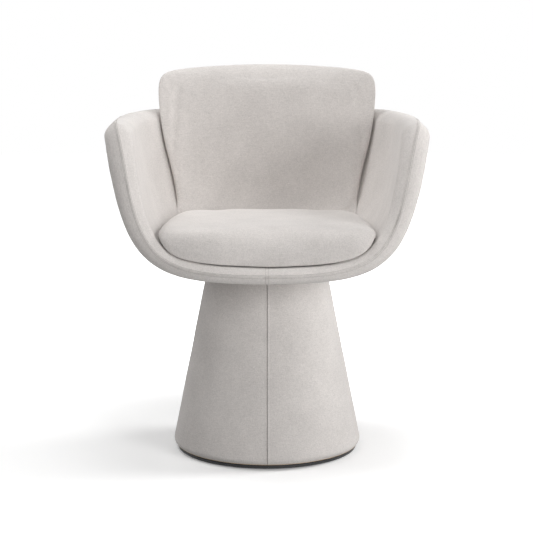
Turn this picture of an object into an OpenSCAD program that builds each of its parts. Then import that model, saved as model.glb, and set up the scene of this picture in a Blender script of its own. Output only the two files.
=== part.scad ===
/* [Tub shell] */
// Half of the width across the outside of the arms
tub_half_w = 320; // [315:1:330]
// Height of the underside of the tub above the floor
tub_bottom_z = 398; // [390:1:410]
// Rise from the underside to where the arm top starts to roll over
tub_rise = 266; // [250:2:280]
// Distance of the widest section in front of the swivel axis
tub_wide_y = 60; // [50:1:70]
// Reach of the seat lip in front of the widest section
lip_reach = 242; // [235:1:250]
// Reach of the arm tops in front of the widest section
arm_reach = 138; // [125:1:150]
// Depth of the back behind the widest section
back_reach = 395; // [385:1:410]
// Padded thickness of the tub at the seat lip
lip_t = 30; // [28:1:32]
// Padded thickness of the tub at the arm tops
arm_t = 56; // [52:1:58]
// Thickness of the moulded shell inside the padding
core_t = 10; // [8:1:12]

/* [Seat cushion] */
// Half of the width of the seat cushion
seat_half_w = 212; // [206:1:213]
// Height of the middle of the cushion's top above the underside of the tub
seat_crown_h = 100; // [95:1:107]
// Height of the cushion's edge at its rear above the underside of the tub
seat_edge_h = 88; // [84:1:92]
// Rise of the cushion's edge over the bowl at its front and sides
seat_edge_rise = 8; // [6:1:12]
// Gap between the cushion's front and the tip of the lip
seat_setback = 17; // [14:1:22]
// Gap between the cushion's rear and the face of the back pad
seat_back_gap = 3; // [2:1:6]

/* [Back pad] */
// Half of the back pad's thickness in the middle
pad_half_t = 31; // [27:1:33]
// Thickness of the rigid board inside the pad
board_t = 5; // [4:0.5:6]
// Padding between the board and the tub's lining
panel_t = 7; // [6:0.5:9]

/* [Pedestal] */
// Radius of the cone at its foot
cone_foot_r = 198.5; // [195:0.5:205]
// Radius of the cone at its top
cone_top_r = 122; // [122:1:128]
// Height of the cone's lower edge above the floor
cone_foot_z = 9; // [8.5:0.5:10]
// Gap between the top of the cone and the tub above it
turning_gap = 6; // [5:0.5:8]
// Thickness of the cone's fabric
fabric_t = 1.5; // [1:0.1:2]
// Thickness of the foam under the cone's fabric
cone_foam_t = 4; // [3:0.5:5]
// Thickness of the bent plywood cone
cone_wall_t = 6; // [5:0.5:7]
// Height of the small pads that the chair stands on
glide_t = 2; // [1.5:0.5:2.5]
// Radius of each small pad
glide_r = 12; // [10:1:14]
// Number of small pads round the one in the middle
glide_count = 6; // [5:1:8]
// Radius of the steel floor plate
floor_plate_r = 188; // [184:1:190]
// Thickness of the steel floor plate
floor_plate_t = 6; // [5:0.5:6.5]
// Height of the plywood rings at both ends of the cone
ring_h = 18; // [15:1:20]
// Inner radius of the lower plywood ring
foot_ring_bore = 148; // [140:1:152]
// Room between the bolts' circle and the upper plywood ring
top_ring_room = 14; // [12:1:16]
// Outer radius of the steel column
column_r = 30; // [28:1:34]
// Wall of the steel column
column_wall = 2.5; // [2:0.5:4]
// Reach and height of the ribs at the foot of the column
gusset_reach = 62; // [50:1:70]
// Thickness of those ribs
gusset_t = 4; // [3:0.5:6]
// Number of those ribs
gusset_count = 4; // [3:1:6]
// Radius of the steel plate on the column
head_plate_r = 108; // [106:1:109]
// Thickness of the steel plate on the column
head_plate_t = 6; // [5:0.5:7]

/* [Swivel] */
// How far the swivel's fixed plate stays inside the turning one
base_plate_inset = 6; // [5:1:8]
// Thickness of the swivel's fixed plate
base_plate_t = 5; // [4:0.5:6]
// Radius of the swivel's turning plate and of the steel plate inside the seat
plate_r = 94; // [90:1:95]
// Thickness of the swivel's turning plate
top_plate_t = 5; // [4:0.5:6]
// Distance from the turning plate's edge to the circle that the balls run on
race_inset = 18; // [16:1:19]
// Radius of one ball
ball_r = 7; // [6.5:0.1:7]
// Number of balls
ball_count = 16; // [8:1:20]
// Depth of the groove that the balls run in
groove_depth = 1.5; // [1:0.1:2]
// Height of the ring that spaces the balls
cage_h = 4; // [3:0.5:5]
// Width of the ring on each side of the balls' circle
cage_half_w = 9; // [8:0.5:9.5]
// Radius of the king pin
pin_r = 12; // [10:0.5:14]
// Radius of the king pin's head
pin_head_r = 18; // [17:1:20]
// Height of the king pin's head
pin_head_h = 4; // [3:0.5:5]
// Length of the king pin below the fixed plate
pin_tail = 9; // [8:0.5:12]
// Radius of the washer and the clip that hold the pin
washer_r = 19; // [17:1:21]
// Thickness of that washer
washer_t = 3; // [2:0.5:3.5]
// Thickness of that clip
clip_t = 1.6; // [1.2:0.1:2]
// Depth of the clip's groove in the pin
clip_groove = 1; // [0.6:0.1:1.5]
// Thickness of the seat plate's rim over the shell
seat_plate_t = 4; // [3:0.5:5]
// Width of the seat plate's rim on the moulded shell
seat_rim_w = 14; // [10:1:18]

/* [Fasteners] */
// Radius of the bolts' shanks
bolt_r = 4; // [3:0.5:5]
// Radius of the bolts' heads
bolt_head_r = 7; // [6.5:0.5:7.5]
// Height of the bolts' heads
bolt_head_h = 4.6; // [4:0.1:4.8]
// Distance from the balls' circle to the circle of the bolts
bolt_inset = 18; // [17.5:0.5:20]
// Number of bolts in each circle
bolt_count = 4; // [3:1:6]
// Height of the nuts
nut_h = 4.5; // [4:0.1:5]
// Radius of the nuts across their corners
nut_r = 7.5; // [7:0.1:8]
// Radius of the wood screws
screw_r = 2.5; // [2:0.1:3]
// Radius of the wood screws' heads
screw_head_r = 5; // [4.5:0.1:5.5]
// Depth of the wood screws' heads
screw_head_h = 3; // [2.5:0.1:3.5]
// Length of the wood screws
screw_l = 19; // [16:0.5:20]
// Distance of the upper screws from the edge of the plate on the column
head_screw_inset = 10; // [9:1:12]
// Number of screws in each ring
screw_count = 6; // [4:1:8]

/* [Clearances] */
// Gap between layers that lie on each other
layer_gap = 0.3; // [0.2:0.05:0.5]
// Radial clearance of the king pin in its bore
running_gap = 0.05; // [0.02:0.01:0.1]
// Clearance of the balls in their grooves
ball_gap = 0.1; // [0.05:0.05:0.2]
// Clearance round bolts, screws and spigots
fit_gap = 0.2; // [0.1:0.05:0.4]
// Clearance of the seat plate in the shell's hole, which has flat sides
seat_plate_gap = 0.6; // [0.5:0.1:1]
// Clearance between the back pad and the tub's lining
pad_gap = 2.4; // [2.3:0.1:2.7]
// Opening of the clip that holds the king pin
clip_gap = 5; // [3:0.5:8]
// Lift of the cushion's rounded edge over the tub's lining
seat_lift = 2.8; // [2.6:0.1:3.2]

/* [Hidden] */
$fn = 96;
// How far a cut runs past the face it opens.
overrun = 1;

// Control shares of the tub's profile: across the side, across the back and up.
side_shares = [0, 0.7, 0.87, 1];
back_shares = [0, 0.85, 0.85, 1];
rise_shares = [0, 0, 0.05, 1];
side_curve = tub_half_w * side_shares;
back_curve = back_reach * back_shares;
rise_curve = tub_rise * rise_shares;
// How squarely the back turns into the sides, and how much the front narrows.
plan_power = 3;
narrow_share = 0.017;
// How late the arm front leans back, and the padding grows, on the way up.
reach_power = 1.7;
thickness_power = 1.4;
// Share of the arm that its rounded front corner takes, along its top and up its front.
corner_run_share = 0.15;
corner_rise_share = 0.176;
// Where the rim seam lies round the rolled edge, counted from its outer side.
front_seam_angle = 90;
top_seam_angle = 60;
// Shares of the way from the middle of the seat to the rim.
ring_shares = [0.36, 0.46, 0.55, 0.64, 0.73, 0.82, 0.93];
core_edge_share = 0.927;
meeting_share = 0.95;
// Columns up the arm front, round its corner, along its top and round half of the back.
front_cols = 7;
corner_cols = 5;
top_cols = 2;
back_cols = 11;
side_cols = front_cols + corner_cols + top_cols + back_cols;
// Steps round the rolled edge, on the cover's side and on the lining's side.
cover_steps = 4;
lining_steps = 5;
// Gap round the plates in the padding, and the width of the flat landing beside it.
hole_gap = 2;
landing = 8;

// Colours of the fabric, foam, plywood, moulded shell and metals.
fabric_colour = [0.83, 0.81, 0.79];
foam_colour = [0.93, 0.91, 0.84];
ply_colour = [0.78, 0.64, 0.45];
core_colour = [0.32, 0.32, 0.34];
black_colour = [0.07, 0.07, 0.07];
steel_colour = [0.62, 0.63, 0.65];

// Radii in the swivel, inwards from the turning plate, and of the ring round its nuts.
base_plate_r = plate_r - base_plate_inset;
core_hole_r = plate_r - seat_rim_w;
race_r = plate_r - race_inset;
bolt_circle = race_r - bolt_inset;
top_ring_bore = bolt_circle + top_ring_room;
// Height of the cone's top edge, a gap below the tub.
cone_top_z = tub_bottom_z - turning_gap;
// Heights in the seat, up from the tub's underside.
seat_crown_z = tub_bottom_z + seat_crown_h;
seat_edge_z = tub_bottom_z + seat_edge_h;
core_z = tub_bottom_z + (lip_t - core_t) / 2;
core_top_z = core_z + core_t;
top_plate_z = core_z - top_plate_t;
// Heights in the swivel, down from the turning plate.
ball_z = top_plate_z + groove_depth - ball_r - ball_gap;
base_face_z = ball_z - ball_r - ball_gap + groove_depth;
base_plate_z = base_face_z - base_plate_t;
head_plate_z = base_plate_z - head_plate_t;
// Heights in the foot, up from the floor.
floor_plate_top = glide_t + floor_plate_t;
pin_end_z = base_plate_z - pin_tail;
washer_z = base_plate_z - layer_gap - washer_t;
clip_z = washer_z - layer_gap - clip_t;

// Turns a gap across the rolled edge into degrees round it.
function gap_turn(gap, radius) = asin(gap / radius);
// A cubic curve through four control values, and its slope.
function bezier(c, t) =
    c[0] * pow(1 - t, 3) + 3 * c[1] * t * pow(1 - t, 2) + 3 * c[2] * t * t * (1 - t) + c[3] * pow(t, 3);
function slope(c, t) =
    3 * (c[1] - c[0]) * pow(1 - t, 2) + 6 * (c[2] - c[1]) * t * (1 - t) + 3 * (c[3] - c[2]) * t * t;
// Radius of a rounded square at a turn, for a half width of 1.
function squircle(turn, power) =
    pow(pow(abs(sin(turn)), power) + pow(abs(cos(turn)), power), -1 / power);
function mix(a, b, share) = a + (b - a) * share;

// The tub is a bowl. A point on it lies at a share of the way up its profile and at a
// depth inside its outer face. The front carries the side's profile forwards, and the
// back turns it round the widest section.
function thickness(up) = lip_t + (arm_t - lip_t) * pow(up, thickness_power);
function profile(curve, up, depth) =
    let (out = slope(curve, up), rise = slope(rise_curve, up), len = norm([out, rise]))
    [bezier(curve, up) - depth * rise / len, tub_bottom_z + bezier(rise_curve, up) + depth * out / len];
function reach(up) = lip_reach + (arm_reach - lip_reach) * pow(up, reach_power);
function front_point(run, up, depth) =
    let (side = profile(side_curve, up, depth))
    [side[0] * (1 - narrow_share * run * run), -tub_wide_y - run * reach(up), side[1]];
function back_point(turn, up, depth) =
    let (side = profile(side_curve, up, depth), back = profile(back_curve, up, depth),
        r = squircle(turn, plan_power))
    [side[0] * r * sin(turn), -tub_wide_y + back[0] * r * cos(turn),
        side[1] * pow(sin(turn), 2) + back[1] * pow(cos(turn), 2)];

// The rim, from the middle of the lip up the arm, back along it and round to the middle
// of the back: each column is a run forwards, a share upwards and a turn.
rim = concat(
    [for (i = [0:front_cols - 1]) [1, (1 - corner_rise_share) * i / front_cols, 90]],
    [for (i = [0:corner_cols]) let (a = 90 * i / corner_cols)
        [1 - corner_run_share * (1 - cos(a)), 1 - corner_rise_share * (1 - sin(a)), 90]],
    [for (i = [1:top_cols]) [(1 - corner_run_share) * (1 - i / top_cols), 1, 90]],
    [for (i = [1:back_cols]) [0, 1, 90 - 90 * i / back_cols]]);
function tub_point(col, share, depth) =
    col[2] == 90 ? front_point(col[0] * share, col[1] * share, depth)
        : back_point(col[2], col[1] * share, depth);
// A depth is a share of the thickness and a length added to it.
function depth_at(depth, up) = depth[0] * thickness(up) + depth[1];
function tub_ring(share, depth) =
    [for (col = rim) tub_point(col, share, depth_at(depth, share * col[1]))];
// A flat circle round the swivel axis, with its points facing the columns.
function hole_ring(radius, depth) =
    [for (col = rim) let (p = tub_point(col, ring_shares[0], 0), a = atan2(p[0], -p[1]))
        [radius * sin(a), -radius * cos(a), tub_bottom_z + depth_at(depth, 0)]];
// The seam leaves the middle of the rolled edge half way round the arm's corner.
function seam_turn(i) =
    let (start = front_cols + corner_cols / 2, end = front_cols + corner_cols + top_cols)
    mix(front_seam_angle, top_seam_angle, min(1, max(0, (i - start) / (end - start))));
function rim_middle(i) = let (col = rim[i]) tub_point(col, 1, thickness(col[1]) / 2);
function mirrored(p) = [-p[0], p[1], p[2]];
// A point of the rolled edge: turn 0 is its outer side and 180 its inner side.
function rolled_point(i, turn) =
    let (col = rim[i], middle = rim_middle(i),
        before = i == 0 ? mirrored(rim_middle(1)) : rim_middle(i - 1),
        after = i == side_cols ? mirrored(rim_middle(i - 1)) : rim_middle(i + 1),
        half = (tub_point(col, 1, 0) - tub_point(col, 1, thickness(col[1]))) / 2,
        across = cross(half, after - before))
    middle + half * cos(turn) + across * sin(turn) * norm(half) / norm(across);
function cover_roll(step) =
    [for (i = [0:side_cols]) rolled_point(i, (seam_turn(i) - gap_turn(layer_gap, arm_t)) * step / cover_steps)];
function lining_roll(step) =
    [for (i = [0:side_cols])
        rolled_point(i, mix(seam_turn(i) + gap_turn(layer_gap, arm_t), 180, step / lining_steps))];
// Joins half a ring to its mirror image.
function whole(half) = concat(half, [for (i = [len(half) - 2:-1:1]) mirrored(half[i])]);

// A four-sided face is split along its shorter diagonal, so layers split alike.
function split(points, a, b, c, d) =
    norm(points[a] - points[c]) < norm(points[b] - points[d]) ? [[a, b, c], [a, c, d]]
        : [[a, b, d], [b, c, d]];
// A closed solid from rings of equally many points. The rings either close on each other
// or end in a point at both ends.
module ring_solid(rings) {
    n = len(rings[0]);
    last = len(rings);
    points = [for (ring = rings, p = ring) p];
    polyhedron(
        points = points,
        faces = [for (i = [0:last - 1], j = [0:n - 1])
            let (next = (j + 1) % n, up = ((i + 1) % last) * n)
            each split(points, i * n + j, up + j, up + next, i * n + next)]);
}

module capped_solid(start, rings, end) {
    n = len(rings[0]);
    last = len(rings) - 1;
    points = concat([start], [for (ring = rings, p = ring) p], [end]);
    polyhedron(
        points = points,
        faces = concat(
            [for (j = [0:n - 1]) [0, 1 + (j + 1) % n, 1 + j]],
            [for (i = [0:last - 1], j = [0:n - 1])
                let (a = 1 + i * n + j, b = 1 + i * n + (j + 1) % n)
                each split(points, a, b, b + n, a + n)],
            [for (j = [0:n - 1]) [1 + last * n + j, 1 + last * n + (j + 1) % n, 1 + (last + 1) * n]]));
}

// Rings up one face of a layer, from its hole to near the rim, and back down again.
function up_rings(depth, hole) = concat(
    [hole_ring(hole, depth), hole_ring(hole + landing, depth)],
    [for (share = ring_shares) tub_ring(share, depth)]);
function reversed(list) = [for (i = [len(list) - 1:-1:0]) list[i]];

// Outer padding and fabric of the tub, from the hole under the seat to the rim seam.
module shell_cover() {
    color(fabric_colour)
        ring_solid([for (half = concat(
            up_rings([0, 0], plate_r + hole_gap),
            [tub_ring(1, [0, 0])],
            [for (step = [1:cover_steps]) cover_roll(step)],
            [tub_ring(meeting_share, [0.5, -layer_gap / 2])],
            reversed(up_rings([0.5, -core_t / 2 - layer_gap], plate_r + hole_gap)))) whole(half)]);
}

// Inner padding and fabric, from the rim seam down to the hole under the seat cushion.
module shell_lining() {
    color(fabric_colour)
        ring_solid([for (half = concat(
            up_rings([0.5, core_t / 2 + layer_gap], plate_r + hole_gap),
            [tub_ring(meeting_share, [0.5, layer_gap / 2])],
            [for (step = [0:lining_steps]) lining_roll(step)],
            reversed(up_rings([1, 0], plate_r + hole_gap)))) whole(half)]);
}

// Stiff moulded shell between the two layers of padding, with a round hole for the plate.
module shell_core() {
    under = [0.5, -core_t / 2];
    over = [0.5, core_t / 2];
    shares = [for (i = [0:len(ring_shares) - 2]) ring_shares[i]];
    wide = plate_r + hole_gap;
    color(core_colour)
        ring_solid([for (half = concat(
            [hole_ring(core_hole_r, under), hole_ring(wide, under), hole_ring(wide + landing, under)],
            [for (share = shares) tub_ring(share, under)],
            [tub_ring(core_edge_share, under), tub_ring(core_edge_share, over)],
            [for (share = reversed(shares)) tub_ring(share, over)],
            [hole_ring(wide + landing, over), hole_ring(wide, over), hole_ring(core_hole_r, over)]))
            whole(half)]);
}

// The back pad lies against the tub's lining and stands above the rim. Its outline is a
// rounded square in turn and height, and its thickness closes at the edge.
pad_angle = 51.5;
pad_low_share = 0.45;
pad_top_share = 1.135;
pad_top_power = 14;
pad_low_power = 10;
pad_edge_power = 16;
pad_side_share = 0.42;
pad_crown_share = 0.012;
pad_waist_share = 0.06;
pad_cols = 48;
// Turns of the columns round the outline, drawn together at its corners.
corner_power = 9;
pad_turns = [for (j = [0:pad_cols - 1]) let (a = 360 * j / pad_cols) a + corner_power * sin(4 * a)];
pad_rings = [0.35, 0.62, 0.8, 0.89, 0.94, 0.975, 0.993];
pad_depth = pad_gap + 2 * pad_half_t;
// Shares of the way from the seam behind the board to the pad's edge.
seam_roll_shares = [0.35, 0.75];
board_edge_share = 0.86;
seam_edge_share = 0.9;

function pad_squircle(a) = squircle(a, cos(a) > 0 ? pad_top_power : pad_low_power);
function pad_turn_at(a, r) =
    let (s = pad_squircle(a) * r)
    pad_angle * s * sin(a) * (1 - pad_waist_share * pow(cos(90 * s * cos(a)), 4));
function pad_up_at(a, r) =
    let (s = pad_squircle(a) * r)
    mix(pad_low_share, pad_top_share, (1 + s * cos(a)) / 2)
        - pad_crown_share * pow(s * sin(a), 2) * max(0, s * cos(a));
function pad_half(a, r) = pad_half_t * (1 - (1 - pad_side_share) * pow(abs(pad_turn_at(a, r)) / pad_angle, 3));
function pad_roll(r) = sqrt(1 - pow(r, pad_edge_power));
// A point at a distance in front of the lining.
function pad_point(a, r, off) =
    let (up = pad_up_at(a, r)) back_point(pad_turn_at(a, r), up, thickness(up)) - [0, off, 0];
function pad_face(a, r, side) = pad_point(a, r, pad_gap + pad_half(a, r) * (1 + side * pad_roll(r)));
function pad_ring(r, side) = [for (a = pad_turns) pad_face(a, r, side)];
function flat_ring(r, off) = [for (a = pad_turns) pad_point(a, r, off)];
function board_face(edge, off) = [for (r = [edge / 2, edge]) flat_ring(r, off)];
// The share at which the pad's rear face meets the seam behind the board.
seam_off = pad_gap + panel_t + board_t / 2;
function seam_share(a) =
    let (h = pad_half(a, 1), left = max(0, 1 - (seam_off - pad_gap) / h))
    pow(1 - left * left, 1 / pad_edge_power);
function seam_ring(off) = [for (a = pad_turns) pad_point(a, seam_share(a), off)];
function seam_roll_ring(share) = [for (a = pad_turns) pad_face(a, mix(seam_share(a), 1, share), -1)];

module back_pad() {
    half_gap = layer_gap / 2;
    face = pad_gap + panel_t + board_t + layer_gap;
    rings = [for (r = pad_rings) pad_ring(r, 1)];
    color(fabric_colour)
        capped_solid(pad_point(0, 0, face),
            concat(
                board_face(board_edge_share, face),
                [flat_ring(seam_edge_share, seam_off + half_gap), seam_ring(seam_off + half_gap)],
                [for (share = seam_roll_shares) seam_roll_ring(share)],
                [pad_ring(1, 0)],
                reversed(rings)),
            pad_face(0, 0, 1));
}

module back_board() {
    edge = board_edge_share - layer_gap / tub_rise;
    back = pad_gap + panel_t;
    color(ply_colour)
        capped_solid(pad_point(0, 0, back),
            concat(board_face(edge, back), reversed(board_face(edge, back + board_t))),
            pad_point(0, 0, back + board_t));
}

module back_panel() {
    half_gap = layer_gap / 2;
    front = pad_gap + panel_t - layer_gap;
    color(fabric_colour)
        capped_solid(pad_face(0, 0, -1),
            concat(
                [for (r = pad_rings) if (r < seam_edge_share) pad_ring(r, -1)],
                [seam_ring(seam_off - half_gap), flat_ring(seam_edge_share, seam_off - half_gap)],
                reversed(board_face(board_edge_share, front))),
            pad_point(0, 0, front));
}

// The seat cushion has a round-cornered outline, a crowned top and a bottom that follows
// the bowl that it lies in.
seat_cols = 44;
seat_rings = [0.3, 0.55, 0.72, 0.84, 0.92, 0.965, 0.99];
seat_front_y = -tub_wide_y - lip_reach - lip_t / 2 + seat_setback;
seat_wide_share = 0.19;
seat_front_power = 6;
seat_rear_power = 4.4;
seat_taper_share = 0.11;
// How tightly the top turns over at the sides, and over the soft roll in front.
seat_edge_power = 10;
seat_roll_power = 3.6;
seat_crown_share = 0.2;
// How late the bottom leaves the bowl for the edge, and how the edge leaves the bowl's
// slope for its height at the rear.
belly_power = 30;
rear_edge_power = 2;
// Share up the tub's back at which the pad's face meets the cushion's edge.
pad_foot_share = 0.55;
seat_rear_y = back_point(0, pad_foot_share, thickness(pad_foot_share))[1] - pad_depth - seat_back_gap;
seat_wide_y = mix(seat_front_y, seat_rear_y, seat_wide_share);

function seat_plan(turn) =
    let (front = cos(turn) > 0, r = squircle(turn, front ? seat_front_power : seat_rear_power))
    [seat_half_w * r * sin(turn) * (1 - seat_taper_share * max(0, -cos(turn)) * r),
        -(front ? seat_wide_y - seat_front_y : seat_rear_y - seat_wide_y) * r * cos(turn)];
// Height of the bowl's inner face under a point: the share up its profile is halved in on.
halvings = 14;
function in_bowl(x, y, up) =
    let (side = profile(side_curve, up, thickness(up))[0], back = profile(back_curve, up, thickness(up))[0])
    y < -tub_wide_y ? x < side * (1 - narrow_share * pow((y + tub_wide_y) / reach(up), 2))
        : pow(x / side, plan_power) + pow((y + tub_wide_y) / back, plan_power) < 1;
function bowl_up(x, y, low, high, left) =
    let (up = (low + high) / 2)
    left == 0 ? up : in_bowl(x, y, up) ? bowl_up(x, y, low, up, left - 1) : bowl_up(x, y, up, high, left - 1);
function bowl_z(x, y) =
    let (up = bowl_up(abs(x), y, 0, 1, halvings), side = profile(side_curve, up, thickness(up)),
        back = profile(back_curve, up, thickness(up)),
        turn = atan2(abs(x) / side[0], max(0, y + tub_wide_y) / back[0]))
    mix(back[1], side[1], pow(sin(turn), 2));
function seat_edge(turn) =
    let (p = seat_plan(turn), side = bowl_z(p[0], seat_wide_y + p[1]) + seat_edge_rise)
    mix(side, seat_edge_z, pow(max(0, -cos(turn)), rear_edge_power));
function seat_top(r, turn) =
    mix(seat_edge(turn), mix(seat_crown_z, seat_edge_z, seat_crown_share * r * r),
        sqrt(1 - pow(r, mix(seat_edge_power, seat_roll_power, pow(max(0, cos(turn)), 4)))));
function seat_bottom(r, turn) =
    let (p = seat_plan(turn), z = bowl_z(p[0] * r, seat_wide_y + p[1] * r))
    mix(z + layer_gap + seat_lift * r, seat_edge(turn), pow(r, belly_power));
function seat_point(turn, r, z) = let (p = seat_plan(turn)) [p[0] * r, seat_wide_y + p[1] * r, z];

module seat_cushion() {
    turns = [for (j = [0:seat_cols - 1]) let (a = -360 * j / seat_cols) a + corner_power * sin(4 * a)];
    color(fabric_colour)
        capped_solid([0, seat_wide_y, tub_bottom_z + lip_t + layer_gap],
            concat(
                [for (r = seat_rings) [for (t = turns) seat_point(t, r, seat_bottom(r, t))]],
                [[for (t = turns) seat_point(t, 1, seat_edge(t))]],
                [for (r = reversed(seat_rings)) [for (t = turns) seat_point(t, r, seat_top(r, t))]]),
            [0, seat_wide_y, seat_crown_z]);
}

// The cone's outer radius at a height, and at a depth inside its fabric.
function cone_r(z) = mix(cone_foot_r, cone_top_r, (z - cone_foot_z) / (cone_top_z - cone_foot_z));
wall_depth = fabric_t + cone_foam_t + 2 * layer_gap;
inner_depth = wall_depth + cone_wall_t + layer_gap;
foot_ring_z = floor_plate_top;
top_ring_z = head_plate_z - ring_h;

// A round ring with a wall that follows the cone, between two heights and two depths.
module cone_band(low, high, outer, inner) {
    rotate_extrude()
        polygon([[cone_r(low) - inner, low], [cone_r(low) - outer, low],
            [cone_r(high) - outer, high], [cone_r(high) - inner, high]]);
}

// Copies spread evenly round the swivel axis.
module around(count, radius, turn = 0) {
    for (i = [0:count - 1])
        rotate([0, 0, turn + 360 * i / count])
            translate([radius, 0, 0]) children();
}

module disc(radius, low, high) {
    translate([0, 0, low]) cylinder(r = radius, h = high - low);
}

// Countersunk wood screw standing on its head, with its tip up.
module wood_screw(gap = 0) {
    cylinder(r1 = screw_head_r + gap, r2 = screw_r + gap, h = screw_head_h);
    cylinder(r = screw_r + gap, h = screw_l + gap);
}

screw_circle = (foot_ring_bore + cone_r(floor_plate_top + ring_h) - inner_depth) / 2;
head_screw_circle = head_plate_r - head_screw_inset;

module floor_glides() {
    color(black_colour) {
        cylinder(r = glide_r, h = glide_t);
        around(glide_count, screw_circle, 180 / glide_count)
            cylinder(r = glide_r, h = glide_t);
    }
}

module floor_plate() {
    color(black_colour)
        difference() {
            disc(floor_plate_r, glide_t, floor_plate_top);
            around(screw_count, screw_circle)
                translate([0, 0, glide_t]) {
                    wood_screw(fit_gap);
                    translate([0, 0, -overrun]) cylinder(r = screw_head_r + fit_gap, h = overrun);
                }
        }
}

module plate_screws() {
    color(steel_colour)
        around(screw_count, screw_circle)
            translate([0, 0, glide_t]) wood_screw();
}

module cone_foot_ring() {
    color(ply_colour)
        difference() {
            cone_band(foot_ring_z, foot_ring_z + ring_h, inner_depth, cone_r(foot_ring_z) - foot_ring_bore);
            disc(foot_ring_bore, foot_ring_z - overrun, foot_ring_z + ring_h + overrun);
            around(screw_count, screw_circle)
                translate([0, 0, glide_t]) wood_screw(fit_gap);
        }
}

module column_tube() {
    color(steel_colour)
        difference() {
            disc(column_r, floor_plate_top, head_plate_z);
            disc(column_r - column_wall, floor_plate_top - overrun, head_plate_z + overrun);
        }
}

module column_gussets() {
    color(steel_colour)
        around(gusset_count, column_r, 180 / gusset_count)
            translate([0, gusset_t / 2, floor_plate_top])
                rotate([90, 0, 0])
                    linear_extrude(gusset_t)
                        polygon([[fit_gap, 0], [gusset_reach, 0], [fit_gap, gusset_reach]]);
}

module head_plate() {
    color(steel_colour)
        difference() {
            disc(head_plate_r, head_plate_z, base_plate_z);
            disc(washer_r + hole_gap, head_plate_z - overrun, base_plate_z + overrun);
            around(bolt_count, bolt_circle)
                disc(bolt_r + fit_gap, head_plate_z - overrun, base_plate_z + overrun);
            around(screw_count, head_screw_circle, 180 / screw_count)
                head_screw(fit_gap, overrun);
        }
}

// Wood screw driven downwards, flush with the head plate.
module head_screw(gap = 0, over = 0) {
    translate([0, 0, base_plate_z]) {
        rotate([180, 0, 0]) wood_screw(gap);
        if (over > 0) cylinder(r = screw_head_r + gap, h = over);
    }
}

module cone_top_ring() {
    color(ply_colour)
        difference() {
            cone_band(top_ring_z, head_plate_z, inner_depth, cone_r(top_ring_z) - top_ring_bore);
            disc(top_ring_bore, top_ring_z - overrun, head_plate_z + overrun);
            around(screw_count, head_screw_circle, 180 / screw_count)
                head_screw(fit_gap);
        }
}

module head_screws() {
    color(steel_colour)
        around(screw_count, head_screw_circle, 180 / screw_count)
            head_screw();
}

module cone_wall() {
    color(ply_colour)
        cone_band(cone_foot_z + fabric_t + layer_gap, cone_top_z - fabric_t - layer_gap,
            wall_depth, wall_depth + cone_wall_t);
}

module cone_foam() {
    color(foam_colour)
        cone_band(cone_foot_z + fabric_t + layer_gap, cone_top_z - fabric_t - layer_gap,
            fabric_t + layer_gap, fabric_t + layer_gap + cone_foam_t);
}

// Fabric sleeve, turned in under the wall at the foot and over it at the top.
module cone_cover() {
    hem = wall_depth + cone_wall_t;
    color(fabric_colour) {
        cone_band(cone_foot_z, cone_top_z, 0, fabric_t);
        cone_band(cone_foot_z, cone_foot_z + fabric_t, 0, hem);
        cone_band(cone_top_z - fabric_t, cone_top_z, 0, hem);
    }
}

// Round groove for the balls.
module race(clearance) {
    translate([0, 0, ball_z])
        rotate_extrude()
            translate([race_r, 0]) circle(r = ball_r + clearance);
}

module swivel_base_plate() {
    color(steel_colour)
        difference() {
            disc(base_plate_r, base_plate_z, base_face_z);
            disc(pin_r + running_gap, base_plate_z - overrun, base_face_z + overrun);
            around(bolt_count, bolt_circle)
                disc(bolt_r + fit_gap, base_plate_z - overrun, base_face_z + overrun);
            race(ball_gap);
        }
}

// Bolts down through the swivel's fixed plate and the head plate.
module base_bolts() {
    color(steel_colour)
        around(bolt_count, bolt_circle) {
            disc(bolt_head_r, base_face_z, base_face_z + bolt_head_h);
            disc(bolt_r, head_plate_z - nut_h, base_face_z + bolt_head_h / 2);
        }
}

module base_nuts() {
    color(steel_colour)
        around(bolt_count, bolt_circle)
            difference() {
                translate([0, 0, head_plate_z - nut_h]) cylinder(r = nut_r, h = nut_h, $fn = 6);
                disc(bolt_r + running_gap, head_plate_z - nut_h - overrun, head_plate_z + overrun);
            }
}

module ball_cage() {
    color(black_colour)
        difference() {
            disc(race_r + cage_half_w, ball_z - cage_h / 2, ball_z + cage_h / 2);
            disc(race_r - cage_half_w, ball_z - cage_h, ball_z + cage_h);
            around(ball_count, race_r)
                disc(ball_r + fit_gap, ball_z - cage_h, ball_z + cage_h);
        }
}

module bearing_balls() {
    color(steel_colour)
        around(ball_count, race_r)
            translate([0, 0, ball_z]) sphere(r = ball_r, $fn = 24);
}

module swivel_top_plate() {
    color(steel_colour)
        difference() {
            disc(plate_r, top_plate_z, core_z);
            disc(pin_r + running_gap, top_plate_z - overrun, core_z + overrun);
            around(bolt_count, bolt_circle)
                disc(bolt_r + fit_gap, top_plate_z - overrun, core_z + overrun);
            race(ball_gap);
        }
}

// King pin: its head sits on the turning plate, and a clip holds it under the fixed one.
module king_pin() {
    color(steel_colour)
        difference() {
            union() {
                disc(pin_head_r, core_z, core_z + pin_head_h);
                disc(pin_r, pin_end_z, core_z + pin_head_h / 2);
            }
            difference() {
                disc(pin_r + overrun, clip_z - layer_gap / 2, clip_z + clip_t + layer_gap / 2);
                disc(pin_r - clip_groove, clip_z - overrun, clip_z + clip_t + overrun);
            }
        }
}

module pin_washer() {
    color(steel_colour)
        difference() {
            disc(washer_r, washer_z, washer_z + washer_t);
            disc(pin_r + fit_gap, washer_z - overrun, washer_z + washer_t + overrun);
        }
}

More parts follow.
